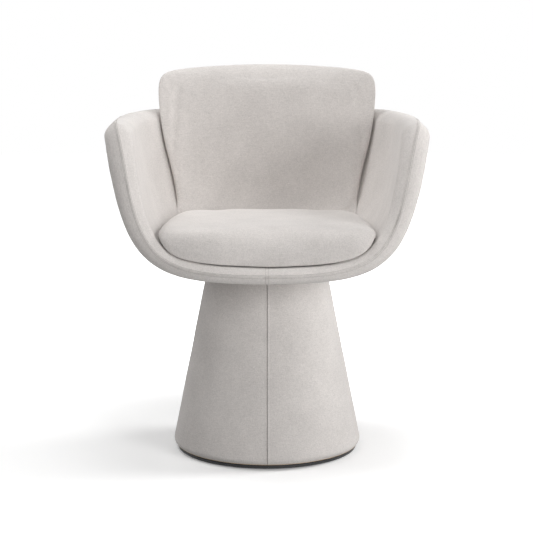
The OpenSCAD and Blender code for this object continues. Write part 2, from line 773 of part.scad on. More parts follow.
module pin_clip() {
    color(black_colour)
        difference() {
            disc(pin_r + (washer_r - pin_r) / 2, clip_z, clip_z + clip_t);
            disc(pin_r - clip_groove + fit_gap, clip_z - overrun, clip_z + clip_t + overrun);
            translate([-clip_gap / 2, 0, clip_z - overrun])
                cube([clip_gap, washer_r + overrun, clip_t + 2 * overrun]);
        }
}

// Steel plate in the seat: a spigot fills the shell's hole and its rim lies on the shell.
module seat_plate() {
    color(steel_colour)
        difference() {
            union() {
                disc(core_hole_r - seat_plate_gap, core_z, core_top_z + seat_plate_t / 2);
                disc(plate_r, core_top_z, core_top_z + seat_plate_t);
            }
            disc(pin_head_r + fit_gap, core_z - overrun, core_z + pin_head_h + fit_gap);
            around(bolt_count, bolt_circle)
                disc(bolt_r + fit_gap, core_z - overrun, core_top_z + seat_plate_t + overrun);
        }
}

// Bolts up through the turning plate and the seat plate.
module seat_bolts() {
    color(steel_colour)
        around(bolt_count, bolt_circle) {
            disc(bolt_head_r, top_plate_z - bolt_head_h, top_plate_z);
            disc(bolt_r, top_plate_z - bolt_head_h / 2, core_top_z + seat_plate_t + nut_h);
        }
}

module seat_nuts() {
    low = core_top_z + seat_plate_t;
    color(steel_colour)
        around(bolt_count, bolt_circle)
            difference() {
                translate([0, 0, low]) cylinder(r = nut_r, h = nut_h, $fn = 6);
                disc(bolt_r + running_gap, low - overrun, low + nut_h + overrun);
            }
}

floor_glides();
floor_plate();
plate_screws();
cone_foot_ring();
column_tube();
column_gussets();
head_plate();
cone_top_ring();
head_screws();
cone_wall();
cone_foam();
cone_cover();
swivel_base_plate();
base_bolts();
base_nuts();
ball_cage();
bearing_balls();
swivel_top_plate();
king_pin();
pin_washer();
pin_clip();
seat_plate();
seat_bolts();
seat_nuts();
shell_core();
shell_cover();
shell_lining();
seat_cushion();
back_panel();
back_board();
back_pad();
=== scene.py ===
import math

import bmesh
import bpy
import numpy as np
from mathutils import Matrix, Vector, kdtree, noise


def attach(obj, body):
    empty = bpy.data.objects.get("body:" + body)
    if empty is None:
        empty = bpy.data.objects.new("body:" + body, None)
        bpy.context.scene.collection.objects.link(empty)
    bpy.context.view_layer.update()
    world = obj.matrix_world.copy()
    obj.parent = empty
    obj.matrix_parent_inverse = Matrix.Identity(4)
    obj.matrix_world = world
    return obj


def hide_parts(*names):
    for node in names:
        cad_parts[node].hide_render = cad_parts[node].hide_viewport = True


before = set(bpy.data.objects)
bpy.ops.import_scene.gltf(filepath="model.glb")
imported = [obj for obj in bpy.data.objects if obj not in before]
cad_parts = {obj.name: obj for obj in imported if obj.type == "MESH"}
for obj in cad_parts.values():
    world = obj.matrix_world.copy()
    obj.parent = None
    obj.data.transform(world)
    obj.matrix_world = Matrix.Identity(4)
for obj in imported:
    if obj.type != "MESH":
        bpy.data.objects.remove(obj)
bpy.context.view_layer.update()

# The camera stands 3.2 m in front of the chair, a little above its back, and looks down
# nine degrees. Its place was worked out from the round top and foot of the pedestal.
film_mm, photo_px, focal_px = 36, 533, 1551.9
lens = bpy.data.cameras.new("studio camera")
lens.lens = film_mm * focal_px / photo_px
lens.shift_x = -0.0010
camera = bpy.data.objects.new("studio camera", lens)
camera.location = (0, -3.2, 0.9057)
camera.rotation_euler = (math.radians(90 - 9.276), 0, 0)
bpy.context.collection.objects.link(camera)
bpy.context.scene.camera = camera
bpy.context.scene.view_settings.view_transform = "Standard"

# Soft round lamps stand on a wide ring: strongest on the right and in front, weaker above
# and on the left. A pale room fills in, and the camera sees that room as plain white.
lamp_size, lamp_away, lamp_aim = 1.3, 3.2, Vector((0, 0, 0.45))


def soft_lamp(name, turn, rise, power):
    light = bpy.data.lights.new(name, "AREA")
    light.shape = "DISK"
    light.size = lamp_size
    light.energy = power
    lamp = bpy.data.objects.new(name, light)
    a, e = math.radians(turn), math.radians(rise)
    way = Vector((math.sin(a) * math.cos(e), -math.cos(a) * math.cos(e), math.sin(e)))
    lamp.location = lamp_aim + lamp_away * way
    lamp.rotation_euler = way.to_track_quat("Z", "Y").to_euler()
    bpy.context.collection.objects.link(lamp)


soft_lamp("right lamp", 105, 35, 41)
soft_lamp("low right lamp", 105, 12, 22)
soft_lamp("right front lamp", 40, 12, 43)
soft_lamp("low front lamp", 0, 12, 15)
soft_lamp("top lamp", 0, 82, 31)
soft_lamp("left lamp", -90, 35, 21)
soft_lamp("rear left lamp", -120, 60, 30)


def nodes_of(tree):
    tree.nodes.clear()
    return lambda kind, **settings: place_node(tree, kind, settings)


def place_node(tree, kind, settings):
    node = tree.nodes.new("ShaderNode" + kind)
    for key, value in settings.items():
        setattr(node, key, value)
    node.location = (220 * (len(tree.nodes) % 9), -260 * (len(tree.nodes) // 9))
    return node


def wire(tree, *pairs):
    for out, into in pairs:
        tree.links.new(out, into)


# This is 1 for the camera, for mirrors and for what shows through clear things.
def seen_directly(tree, add):
    rays = add("LightPath")
    seen, clear = add("Math", operation="MAXIMUM"), add("Math", operation="MAXIMUM")
    wire(tree, (rays.outputs["Is Camera Ray"], seen.inputs[0]),
         (rays.outputs["Is Glossy Ray"], seen.inputs[1]), (seen.outputs[0], clear.inputs[0]),
         (rays.outputs["Is Transmission Ray"], clear.inputs[1]))
    return clear.outputs[0]


room = bpy.data.worlds.new("pale room")
bpy.context.scene.world = room
room.use_nodes = True
tree = room.node_tree
add = nodes_of(tree)
clear = seen_directly(tree, add)
walls, white = add("Background"), add("Background")
for paint, strength in ((walls, 0.1), (white, 1)):
    paint.inputs["Color"].default_value = (1, 1, 1, 1)
    paint.inputs["Strength"].default_value = strength
pick = add("MixShader")
out = add("OutputWorld")
wire(tree, (clear, pick.inputs[0]), (walls.outputs[0], pick.inputs[1]),
     (white.outputs[0], pick.inputs[2]), (pick.outputs[0], out.inputs["Surface"]))


# The floor is a plain pale sweep. For the camera it also glows, as painted light: little just
# left of the chair, so that the chair's shadow stays on it there, more towards the right, where the
# glow washes the shadow out, and as plain white farther away.
def finish_mesh(name, bm, material=None):
    mesh = bpy.data.meshes.new(name)
    bm.to_mesh(mesh)
    bm.free()
    piece = bpy.data.objects.new(name, mesh)
    bpy.context.collection.objects.link(piece)
    if material:
        mesh.materials.append(material)
    return piece


bm = bmesh.new()
bmesh.ops.create_circle(bm, cap_ends=True, segments=96, radius=7)
floor = finish_mesh("studio floor", bm)
paper = bpy.data.materials.new("pale paper")
paper.use_nodes = True
tree = paper.node_tree
add = nodes_of(tree)
matt, clean = add("BsdfDiffuse"), add("BsdfDiffuse")
matt.inputs["Color"].default_value = (0.5, 0.5, 0.5, 1)
clean.inputs["Color"].default_value = (1, 1, 1, 1)
where = add("TexCoord")
length = add("VectorMath", operation="DISTANCE")
length.inputs[1].default_value = (-0.2, 0, 0)
fade = add("MapRange", interpolation_type="SMOOTHSTEP")
for label, value in (("From Min", 0.32), ("From Max", 1.15), ("To Min", 0.12), ("To Max", 1.0)):
    fade.inputs[label].default_value = value
# Painted light: a glow seen directly, weakest 0.2 m left of the chair's axis and rising with distance
# from there.
glow = add("Emission")
lifted = add("AddShader")
clear = seen_directly(tree, add)
pick = add("MixShader")
out = add("OutputMaterial")
wire(tree, (where.outputs["Object"], length.inputs[0]),
     (length.outputs["Value"], fade.inputs["Value"]), (fade.outputs["Result"], glow.inputs["Strength"]),
     (clean.outputs[0], lifted.inputs[0]), (glow.outputs[0], lifted.inputs[1]),
     (clear, pick.inputs[0]), (matt.outputs[0], pick.inputs[1]), (lifted.outputs[0], pick.inputs[2]),
     (pick.outputs[0], out.inputs["Surface"]))
floor.data.materials.append(paper)


# Wool felt: a soft, matt, warm grey cloth of short tangled hairs. The nap gives a fine
# fleck, a wider cloudiness and faint streaks. Along the seams the colour is darkened as
# painted shade, for the shadow in their fine lines and stitch rows.
def effect_group(name, inputs, outputs):
    group = bpy.data.node_groups.new(name, "ShaderNodeTree")
    for label, kind, value in inputs:
        socket = group.interface.new_socket(label, in_out="INPUT", socket_type="NodeSocket" + kind)
        if value is not None:
            socket.default_value = value
    for label, kind in outputs:
        group.interface.new_socket(label, in_out="OUTPUT", socket_type="NodeSocket" + kind)
    add = nodes_of(group)
    return group, add, group.nodes.new("NodeGroupInput"), group.nodes.new("NodeGroupOutput")


def noise_at(add, group, vector, scale, detail, roughness=0.5):
    grain = add("TexNoise")
    grain.inputs["Scale"].default_value = scale
    grain.inputs["Detail"].default_value = detail
    grain.inputs["Roughness"].default_value = roughness
    wire(group, (vector, grain.inputs["Vector"]))
    return grain.outputs["Fac"]


nap, add, given, result = effect_group(
    "brushed nap",
    [("Place", "Vector", None), ("Cloth", "Vector", None), ("Wool", "Color", (0.6, 0.58, 0.55, 1)),
     ("Fleck", "Float", 0.1), ("Cloud", "Float", 0.05), ("Streak", "Float", 0.04),
     ("Painted Shade", "Float", 0.0)],
    [("Color", "Color"), ("Roughness", "Float"), ("Height", "Float")])
hairs = noise_at(add, nap, given.outputs["Place"], 500, 3, 0.65)
clouds = noise_at(add, nap, given.outputs["Place"], 170, 3, 0.6)
wide = noise_at(add, nap, given.outputs["Place"], 14, 2)
lay = add("Mapping")
lay.inputs["Scale"].default_value = (60, 520, 1)
wire(nap, (given.outputs["Cloth"], lay.inputs["Vector"]))
streaks = noise_at(add, nap, lay.outputs["Vector"], 1, 2)
total = None
for share, source in (("Fleck", hairs), ("Cloud", clouds), ("Cloud", wide), ("Streak", streaks)):
    centred = add("Math", operation="SUBTRACT")
    centred.inputs[1].default_value = 0.5
    scaled = add("Math", operation="MULTIPLY")
    wire(nap, (source, centred.inputs[0]), (centred.outputs[0], scaled.inputs[0]),
         (given.outputs[share], scaled.inputs[1]))
    if total is None:
        total = scaled.outputs[0]
    else:
        plus = add("Math", operation="ADD")
        wire(nap, (total, plus.inputs[0]), (scaled.outputs[0], plus.inputs[1]))
        total = plus.outputs[0]
level = add("Math", operation="ADD")
level.inputs[1].default_value = 1
# Painted shade: the seams' share darkens the wool colour.
painted_shade = add("Math", operation="MULTIPLY_ADD")
painted_shade.inputs[1].default_value = -0.4
shade = add("VectorMath", operation="SCALE")
wire(nap, (given.outputs["Painted Shade"], painted_shade.inputs[0]), (total, painted_shade.inputs[2]),
     (painted_shade.outputs[0], level.inputs[0]), (given.outputs["Wool"], shade.inputs[0]),
     (level.outputs[0], shade.inputs["Scale"]), (shade.outputs[0], result.inputs["Color"]))
rough = add("MapRange")
rough.inputs["To Min"].default_value = 0.86
rough.inputs["To Max"].default_value = 0.98
wire(nap, (clouds, rough.inputs["Value"]), (rough.outputs["Result"], result.inputs["Roughness"]))
fibre = add("Math", operation="MULTIPLY_ADD")
fibre.inputs[1].default_value = 0.6
wire(nap, (hairs, fibre.inputs[0]), (streaks, fibre.inputs[2]),
     (fibre.outputs[0], result.inputs["Height"]))


def cloth_material(name, colour, fleck, cloud, streak, bump):
    cloth = bpy.data.materials.new(name)
    cloth.use_nodes = True
    tree = cloth.node_tree
    add = nodes_of(tree)
    where = add("TexCoord")
    # The painted shade along the seams is read from the mesh.
    seam = add("Attribute", attribute_name="groove")
    felt = add("Group", node_tree=nap)
    felt.inputs["Wool"].default_value = (*colour, 1)
    felt.inputs["Fleck"].default_value = fleck
    felt.inputs["Cloud"].default_value = cloud
    felt.inputs["Streak"].default_value = streak
    relief = add("Bump")
    relief.inputs["Strength"].default_value = bump
    relief.inputs["Distance"].default_value = 0.0006
    surface = add("BsdfPrincipled")
    surface.inputs["Specular IOR Level"].default_value = 0.12
    surface.inputs["Sheen Weight"].default_value = 0.28
    surface.inputs["Sheen Roughness"].default_value = 0.45
    out = add("OutputMaterial")
    wire(tree, (where.outputs["Object"], felt.inputs["Place"]),
         (where.outputs["UV"], felt.inputs["Cloth"]), (seam.outputs["Fac"], felt.inputs["Painted Shade"]),
         (felt.outputs["Color"], surface.inputs["Base Color"]),
         (felt.outputs["Roughness"], surface.inputs["Roughness"]),
         (felt.outputs["Height"], relief.inputs["Height"]),
         (relief.outputs["Normal"], surface.inputs["Normal"]),
         (surface.outputs[0], out.inputs["Surface"]))
    return cloth


wool = cloth_material("light grey wool felt", (0.635, 0.602, 0.579), 0.6, 0.2, 0.14, 0.5)
thread = cloth_material("grey sewing thread", (0.50, 0.465, 0.436), 0.1, 0.05, 0.0, 0.2)

# The tub is one padded bowl: a flat floor, sides that rise and roll over into the arm
# tops, and a round back. Its cover and its lining are cut to this shape, a share of the
# way up the bowl and a depth inside its outer face. Lengths are in metres.
side_line = 0.320 * np.array((0, 0.7, 0.87, 1))
back_line = 0.395 * np.array((0, 0.85, 0.85, 1))
rise_line = 0.266 * np.array((0, 0, 0.05, 1))
tub_floor, floor_padding = 0.398, 0.030
split_y = -0.060
core_half = 0.005
layer = 0.0003
floor_share, swivel_hole = 0.36, 0.096
tip, corner, arm_top, middle_back = 7, 12, 14, 25


def smooth(t):
    return t * t * (3 - 2 * t)


def curve(c, t):
    return (c[0] * (1 - t) ** 3 + 3 * c[1] * t * (1 - t) ** 2 + 3 * c[2] * t * t * (1 - t)
            + c[3] * t ** 3)


def lean(c, t):
    return (3 * (c[1] - c[0]) * (1 - t) ** 2 + 6 * (c[2] - c[1]) * t * (1 - t)
            + 3 * (c[3] - c[2]) * t * t)


def squared(s, c, power):
    return (np.abs(s) ** power + np.abs(c) ** power) ** (-1 / power)


def padding(up):
    return floor_padding + 0.026 * up ** 1.4


def profile(line, up, depth):
    out, rise = lean(line, up), lean(rise_line, up)
    length = np.hypot(out, rise)
    height = tub_floor + curve(rise_line, up)
    return curve(line, up) - depth * rise / length, height + depth * out / length


def reach(up):
    return 0.242 + (0.138 - 0.242) * up ** 1.7


def front_wall(run, up, depth):
    x, z = profile(side_line, up, depth)
    y = split_y - run * reach(up)
    return np.stack(np.broadcast_arrays(x * (1 - 0.017 * run * run), y, z), -1)


def back_wall(turn, up, depth):
    x, z = profile(side_line, up, depth)
    bx, bz = profile(back_line, up, depth)
    s, c = np.sin(turn), np.cos(turn)
    r = squared(s, c, 3)
    y = split_y + bx * r * c
    return np.stack(np.broadcast_arrays(x * r * s, y, z * s * s + bz * c * c), -1)


# Stations along the rim run from the middle of the lip (0) up the arm front to its tip
# (7), round its corner (12), back along its top (14) and to the middle of the back (25).
tip_up, tip_back = 0.824, 0.15


def tub(q, share, part, extra=0.0):
    bend = np.clip((q - tip) / (corner - tip), 0, 1) * math.pi / 2
    along = np.clip((q - corner) / (arm_top - corner), 0, 1)
    run = np.where(q <= corner, 1 - tip_back * (1 - np.cos(bend)), (1 - tip_back) * (1 - along))
    run = np.where(q <= tip, 1, run) * share
    up = np.where(q <= corner, 1 - (1 - tip_up) * (1 - np.sin(bend)), 1)
    up = np.where(q <= tip, tip_up * q / tip, up) * share
    turn = math.pi / 2 * (1 - np.clip((q - arm_top) / (middle_back - arm_top), 0, 1))
    depth = part * padding(up) + extra
    return np.where((q > arm_top)[..., None], back_wall(turn, up, depth),
                    front_wall(run, up, depth))


# The stations close up beside the two middle seams, where the seams' relief needs them.
near = np.array((0, 0.3, 0.7, 1.2, 1.8, 2.3, 2.7, 3.1, 3.6, 4.5, 6, 8, 11, 15)) / 1000
lip_length, back_radius = 0.672, 0.32
stations = np.concatenate((
    near / lip_length / tip_up * tip, np.linspace(0.3, tip, 44)[1:], np.linspace(tip, corner, 26)[1:],
    np.linspace(corner, arm_top, 14)[1:], np.linspace(arm_top, 24.4, 56)[1:],
    middle_back - (near[::-1] / back_radius) / (math.pi / 2) * (middle_back - arm_top)))
half_count = len(stations)


def all_round(half):
    return np.concatenate((half, half[-2:0:-1] * (-1, 1, 1), half[:1]))


def floor_ring(radius, height):
    p = tub(stations, floor_share, 0)
    a = np.arctan2(p[:, 0], -p[:, 1])
    return np.stack((radius * np.sin(a), -radius * np.cos(a), np.full(half_count, height)), -1)


# The bowl's flat floor joins the round hole for the swivel to the foot of the wall.
def floor_rings(hole, part, extra, count):
    height = tub_floor + part * floor_padding + extra
    start, end = floor_ring(hole + 0.008, height), tub(stations, floor_share, part, extra)
    leave = (end - start) * (1, 1, 0)
    meet = (tub(stations, floor_share + 0.01, part, extra) - end) / 0.01
    meet *= (np.linalg.norm(end - start, axis=1, keepdims=True)
             / np.linalg.norm(meet, axis=1, keepdims=True))
    rings = [floor_ring(hole, height)]
    for t in np.linspace(0, 1, count)[:-1]:
        rings.append((2 * t ** 3 - 3 * t * t + 1) * start + (t ** 3 - 2 * t * t + t) * leave
                     + (3 * t * t - 2 * t ** 3) * end + (t ** 3 - t * t) * meet)
    return rings


def rim_frame():
    outer, inner = tub(stations, 1, 0), tub(stations, 1, 1)
    loop = all_round((outer + inner) / 2)[:-1]
    along = (np.roll(loop, -1, 0) - np.roll(loop, 1, 0))[:half_count]
    half = (outer - inner) / 2
    across = np.cross(half, along)
    across *= (np.linalg.norm(half, axis=1, keepdims=True)
               / np.linalg.norm(across, axis=1, keepdims=True))
    return (outer + inner) / 2, half, across


# The two layers meet at an angle in the seam: a soft ridge on the lip, and a plain edge up
# the arms, inwards of their middle, which moves outwards along the back.
rim_middle, rim_half, rim_across = rim_frame()
rim_radius = np.linalg.norm(rim_half, axis=1)
top_ease = np.clip((stations - 8) / 9, 0, 1)
arm_ease = np.clip((stations - 1) / 4, 0, 1)
seam_shift = np.radians(4 + 9 * smooth(arm_ease) - 41 * smooth(top_ease))
outer_crisp = smooth(arm_ease)
inner_crisp = outer_crisp * (1 - 0.4 * top_ease)


# The outer side starts along the wall and bends slowly, so that no line shows there.
def rim_section(wide, tall, start):
    a = np.linspace(0, math.pi, 721)
    up = np.sin(a).clip(0, 1)
    side = (1 - up ** np.where(a < math.pi / 2, start, 2)).clip(0) ** 0.5
    shape = np.stack((np.sign(np.cos(a)) * side ** wide, up ** tall), -1)
    run = np.concatenate(((0,), np.cumsum(np.linalg.norm(np.diff(shape, axis=0), axis=1))))
    return np.interp(run, (0, run[len(a) // 2], run[-1]), (0, math.pi / 2, math.pi)), shape


lip_section, arm_section = rim_section(1.3, 1.3, 2), rim_section(1.8, 1.0, 2.8)


def rolled(angle, lift=0.0):
    share = np.where(angle < math.pi / 2, outer_crisp, inner_crisp)
    x, y = [(1 - share) * np.interp(angle, lip_section[0], lip_section[1][:, k])
            + share * np.interp(angle, arm_section[0], arm_section[1][:, k]) for k in (0, 1)]
    size, turn = np.hypot(x, y), np.arctan2(y, x)
    turn = turn + seam_shift * np.sin(turn) ** 2
    out = rim_half * (size * np.cos(turn))[:, None] + rim_across * (size * np.sin(turn))[:, None]
    return rim_middle + out * (1 + lift / (rim_radius * size))[:, None]


# A flat-felled seam: the two layers meet in a fine line, and a row of stitches on each
# side, 2.7 mm away, draws the cloth down and leaves a slightly raised band between them.
stitch_off, seam_width = 0.0027, 0.0006


def at_line(distance):
    return np.exp(-(distance / seam_width) ** 2)


def seam_relief(distance):
    d = np.abs(distance)
    band = smooth(np.clip((0.005 - d) / 0.002, 0, 1))
    return 0.00035 * band - 0.0009 * at_line(d - stitch_off) - 0.0006 * at_line(d)


# Painted shade along a seam: a share on its fine line, weighted by middle, and half on each stitch row.
def groove(distance, middle):
    d = np.abs(distance)
    return middle * at_line(d) + 0.5 * at_line(d - stitch_off)


seam_steps = np.array(
    (6.5, 5.4, 4.6, 4.0, 3.5, 3.1, 2.7, 2.3, 1.9, 1.4, 0.9, 0.5, 0.2, 0.03)) / 1000
seam_zone, seam_end, tuck = 0.008, 0.00003, 0.0026
wall_shares = np.linspace(floor_share, 1, 58)
hidden_shares = np.linspace(floor_share, 0.93, 14)


# A layer climbs the wall on its own side (0 outside, 1 inside), rolls over the rim to the
# seam, tucks in there and comes down along the shell's core.
def layer_rings(part, way, roll_count):
    start, stop = part * math.pi, math.pi / 2 + way * seam_zone / rim_radius
    rings = floor_rings(swivel_hole, part, 0, 9) + [tub(stations, s, part) for s in wall_shares]
    rings += [rolled(start + (stop - start) * f) for f in np.linspace(0, 1, roll_count)[1:]]
    rings += [rolled(math.pi / 2 + way * d / rim_radius, seam_relief(d)) for d in seam_steps]
    rings.append(rolled(math.pi / 2 + way * seam_end / rim_radius, -tuck))
    rings.append(tub(stations, 0.95, 0.5, way * layer / 2))
    inside = way * (core_half + layer)
    hidden = [tub(stations, s, 0.5, inside) for s in hidden_shares[::-1]]
    return rings, hidden + floor_rings(swivel_hole, 0.5, inside, 3)[::-1]


def waves(grid, *sizes):
    return np.array([[sum(depth * noise.noise(Vector(p) * size) for size, depth in sizes)
                      for p in row] for row in grid])


def normals_of(grid):
    down = np.gradient(grid, axis=0)
    wide = np.concatenate((grid[:, -2:-1], grid, grid[:, 1:2]), axis=1)
    n = np.cross(down, (wide[:, 2:] - wide[:, :-2]) / 2)
    return n / np.maximum(np.linalg.norm(n, axis=2, keepdims=True), 1e-12)


# Cloth is laid as sheets whose rows and columns are drawn to their places, each with a
# cloth map in metres. Sheets that meet themselves or each other are sewn together there.
def lay_cloth(name, sheets, painted_shade=None):
    bm = bmesh.new()
    chart = bm.loops.layers.uv.new("cloth")
    # Each point carries its share of painted shade for the seams.
    seam = bm.verts.layers.float.new("groove")
    for places, cloth in sheets:
        rows, cols = places.shape[:2]
        fresh = bmesh.ops.create_grid(bm, x_segments=cols - 1, y_segments=rows - 1, size=1)["verts"]
        spot = {}
        for v in fresh:
            i = round((v.co.y + 1) / 2 * (rows - 1))
            j = round((v.co.x + 1) / 2 * (cols - 1))
            spot[v] = (i, j)
            v.co = places[i, j]
            v[seam] = 0 if painted_shade is None else painted_shade[i, j]
        for face in {f for v in fresh for f in v.link_faces}:
            face.smooth = True
            for loop in face.loops:
                loop[chart].uv = cloth[spot[loop.vert]]
    bmesh.ops.remove_doubles(bm, verts=bm.verts, dist=2e-6)
    bmesh.ops.recalc_face_normals(bm, faces=bm.faces)
    return finish_mesh(name, bm)


def length_along(line):
    return np.concatenate(((0,), np.cumsum(np.linalg.norm(np.diff(line, axis=0), axis=1))))


def cloth_chart(places):
    rows, cols = places.shape[:2]
    return np.stack(np.meshgrid(length_along(places[rows // 2]),
                                length_along(places[:, cols // 3])), -1)


def tub_layer(name, part, way, roll_count, centre_back):
    seen, hidden = layer_rings(part, way, roll_count)
    shown = np.stack([all_round(r) for r in seen])
    normal = normals_of(shown)
    normal *= np.sign(way * np.sum(normal[60, :, 2]))
    line = np.where(shown[..., 1] < -0.1, 1, centre_back)
    lift = seam_relief(shown[..., 0]) * line + waves(shown, (22, 0.0007), (60, 0.0002))
    lift[-2:] = 0
    # Painted shade darkens the felt on the stitch rows of the middle seams and, below, on the rim
    # seam's line and stitch rows.
    painted_shade = groove(shown[..., 0], 0) * line
    shown = shown + normal * lift[..., None]
    edge = slice(-2 - len(seam_steps), -2)
    shade_beside_seam = groove(seam_steps[:, None], 0.9 * np.append(inner_crisp, inner_crisp[-2::-1]))
    painted_shade[edge] = np.maximum(painted_shade[edge], shade_beside_seam)
    places = np.concatenate((shown, np.stack([all_round(r) for r in hidden]), shown[:1]))
    painted_shade = np.concatenate((painted_shade, np.zeros((len(hidden) + 1, painted_shade.shape[1]))))
    return lay_cloth(name, [(places, cloth_chart(places))], painted_shade), shown, normal


# The tub's cover is sewn from two halves of felt over the foam on the shell's outside,
# with a seam down its front and its back. It ends round the hole for the swivel.
cover, cover_places, cover_normals = tub_layer("tub_cover", 0, -1, 18, 1)
cover.data.materials.append(wool)
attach(cover, "seat")
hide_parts("shell_cover")

# The lining is the soft inner side: it starts under the cushion, climbs the bowl, rolls
# over the arm tops and the lip, and meets the cover in the rim seam.
lining, lining_places, lining_normals = tub_layer("tub_lining", 1, 1, 20, 0)
lining.data.materials.append(wool)
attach(lining, "seat")
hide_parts("shell_lining")


# Topstitching: short loops of thread, 3.4 mm apart, sunk into both sides of the rim seam
# and of the seams down the middle.
def even_steps(line, values, step):
    at = length_along(line)
    want = np.arange(step / 2, at[-1], step)
    return np.stack([np.interp(want, at, values[:, k]) for k in range(3)], -1)


def sew(bm, line, normal, step=0.0034, long=0.0012, thick=0.00032, proud=0.0001):
    spots, faces_up = even_steps(line, line, step), even_steps(line, normal, step)
    ways = np.gradient(spots, axis=0)
    size = Matrix.Diagonal((long, thick, thick, 1))
    for p, w, n in zip(spots, ways, faces_up):
        x = Vector(w).normalized()
        z = Vector(n).normalized()
        y = z.cross(x).normalized()
        turn = Matrix((x, y, x.cross(y))).transposed().to_4x4()
        bmesh.ops.create_icosphere(bm, subdivisions=1, radius=1,
                                   matrix=Matrix.Translation(Vector(p) + z * proud) @ turn @ size)


bm = bmesh.new()
stitch_row = int(np.argmin(np.abs(seam_steps - stitch_off))) - len(seam_steps) - 2
stitch_column = int(np.argmin(np.abs(near - stitch_off)))
sew(bm, cover_places[stitch_row], cover_normals[stitch_row])
sew(bm, lining_places[stitch_row], lining_normals[stitch_row])
for j in (stitch_column, -1 - stitch_column):
    sew(bm, cover_places[30:-4, j], cover_normals[30:-4, j])
    sew(bm, lining_places[30:-4, j], lining_normals[30:-4, j])
for face in bm.faces:
    face.smooth = True
stitches = finish_mesh("rim_stitches", bm, thread)
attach(stitches, "seat")

# The pedestal's sleeve is felt drawn tight over thin foam on the plywood cone. Its edges
# are turned in at the foot and the top, and it closes in one seam down the front.
foot_r, foot_z, foot_edge_r = 0.1985, 0.009, 0.011
head_r, head_z, head_edge_r = 0.122, 0.392, 0.003
hem, cloth_t = 0.0121, 0.0015
foot_rows, head_rows = 10, 6


def cone_radius(z):
    return foot_r + (head_r - foot_r) * (z - foot_z) / (head_z - foot_z)


def foot_point(angle, r):
    return foot_middle_r + r * math.cos(angle), foot_z + foot_edge_r + r * math.sin(angle)


def turned(line, turns):
    line = np.array(line)
    return np.stack((line[:, :1] * np.sin(turns), -line[:, :1] * np.cos(turns),
                     line[:, 1:] + 0 * turns), -1)


turns = np.concatenate((near / foot_r, np.linspace(0.09, math.pi, 110)))
turns = np.concatenate((turns, 2 * math.pi - turns[-2::-1]))
lean_in = math.atan((foot_r - head_r) / (head_z - foot_z))
foot_middle_r = cone_radius(foot_z + foot_edge_r) - foot_edge_r / math.cos(lean_in)
outline = [foot_point(a, foot_edge_r) for a in np.linspace(-math.pi / 2, lean_in, foot_rows + 1)]
outline += [(cone_radius(z), z)
            for z in np.linspace(outline[-1][1], head_z - head_edge_r, 70)[1:]]
outline += [(cone_radius(head_z) - head_edge_r * (1 - math.cos(a)),
             head_z - head_edge_r * (1 - math.sin(a)))
            for a in np.linspace(0, math.pi / 2, head_rows + 1)[1:]]
middle = slice(foot_rows, len(outline) - head_rows)
outline += [(head_r - hem, head_z), (head_r - hem, head_z - cloth_t),
            (cone_radius(head_z - cloth_t) - cloth_t, head_z - cloth_t),
            (cone_radius(foot_z + foot_edge_r) - cloth_t, foot_z + foot_edge_r),
            (foot_middle_r, foot_z + cloth_t), (foot_r - hem, foot_z + cloth_t),
            (foot_r - hem, foot_z), outline[0]]
sleeve_places = turned(outline, turns)


def sleeve_relief(x):
    d = np.abs(x) * 1000
    return (0.55 * np.exp(-((d - 2.2) / 1.6) ** 2) - 2.2 * np.exp(-(d / 0.7) ** 2)) / 1000


around = normals_of(sleeve_places)
if around[30, 0, 1] > 0:
    around = -around
front = sleeve_places[..., 1] < 0
relief = np.where(front, sleeve_relief(sleeve_places[..., 0]), 0)
lift = np.zeros(sleeve_places.shape[:2])
lift[middle] = (relief + waves(sleeve_places, (16, 0.0006), (50, 0.0002)))[middle]
lift[:foot_rows] = relief[foot_rows] * np.linspace(0, 1, foot_rows)[:, None]
sleeve_places = sleeve_places + around * lift[..., None]
# Painted shade darkens the felt along the sleeve's front seam.
painted_shade = np.where(front, 1.2 * np.exp(-(sleeve_places[..., 0] / 0.0007) ** 2), 0)
sleeve = lay_cloth("pedestal_sleeve", [(sleeve_places, cloth_chart(sleeve_places))], painted_shade)
sleeve.data.materials.append(wool)
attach(sleeve, "pedestal")
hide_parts("cone_cover")

# Under the sleeve lies a thin layer of foam, glued to the plywood. Its foot is rounded off,
# so that the sleeve turns in softly over it.
foam_in, foam_out, foam_top = 0.0056, 0.0018, head_z - 0.0022
foam_line = [(cone_radius(foam_top) - foam_in, foam_top),
             (cone_radius(foam_top) - foam_out, foam_top)]
foam_line += [foot_point(a, foot_edge_r - foam_out)
              for a in np.linspace(lean_in, math.radians(-50), 9)]
foam_low = foam_line[-1][1]
foam_line += [(cone_radius(foam_low) - foam_in, foam_low + 0.0004), foam_line[0]]
foam_places = turned(foam_line, np.linspace(0, 2 * math.pi, 97))
cone_padding = lay_cloth("pedestal_foam", [(foam_places, cloth_chart(foam_places))])
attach(cone_padding, "pedestal")
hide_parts("cone_foam")

# The loose cushion is foam and down in a felt cover. It follows the bowl below, bulges
# over a big soft front roll, and its two cover panels are sewn together round its edge.
seat_half, seat_front_y, seat_rear_y, seat_wide_y = 0.2112, -0.3000, 0.1605, -0.212


def rest_height(x, y):
    down = Vector((0, 0, -1))
    spots = [lining.ray_cast(Vector((a, b, 0.62)), down)[1].z for a, b in zip(x.flat, y.flat)]
    return np.array(spots).reshape(x.shape)


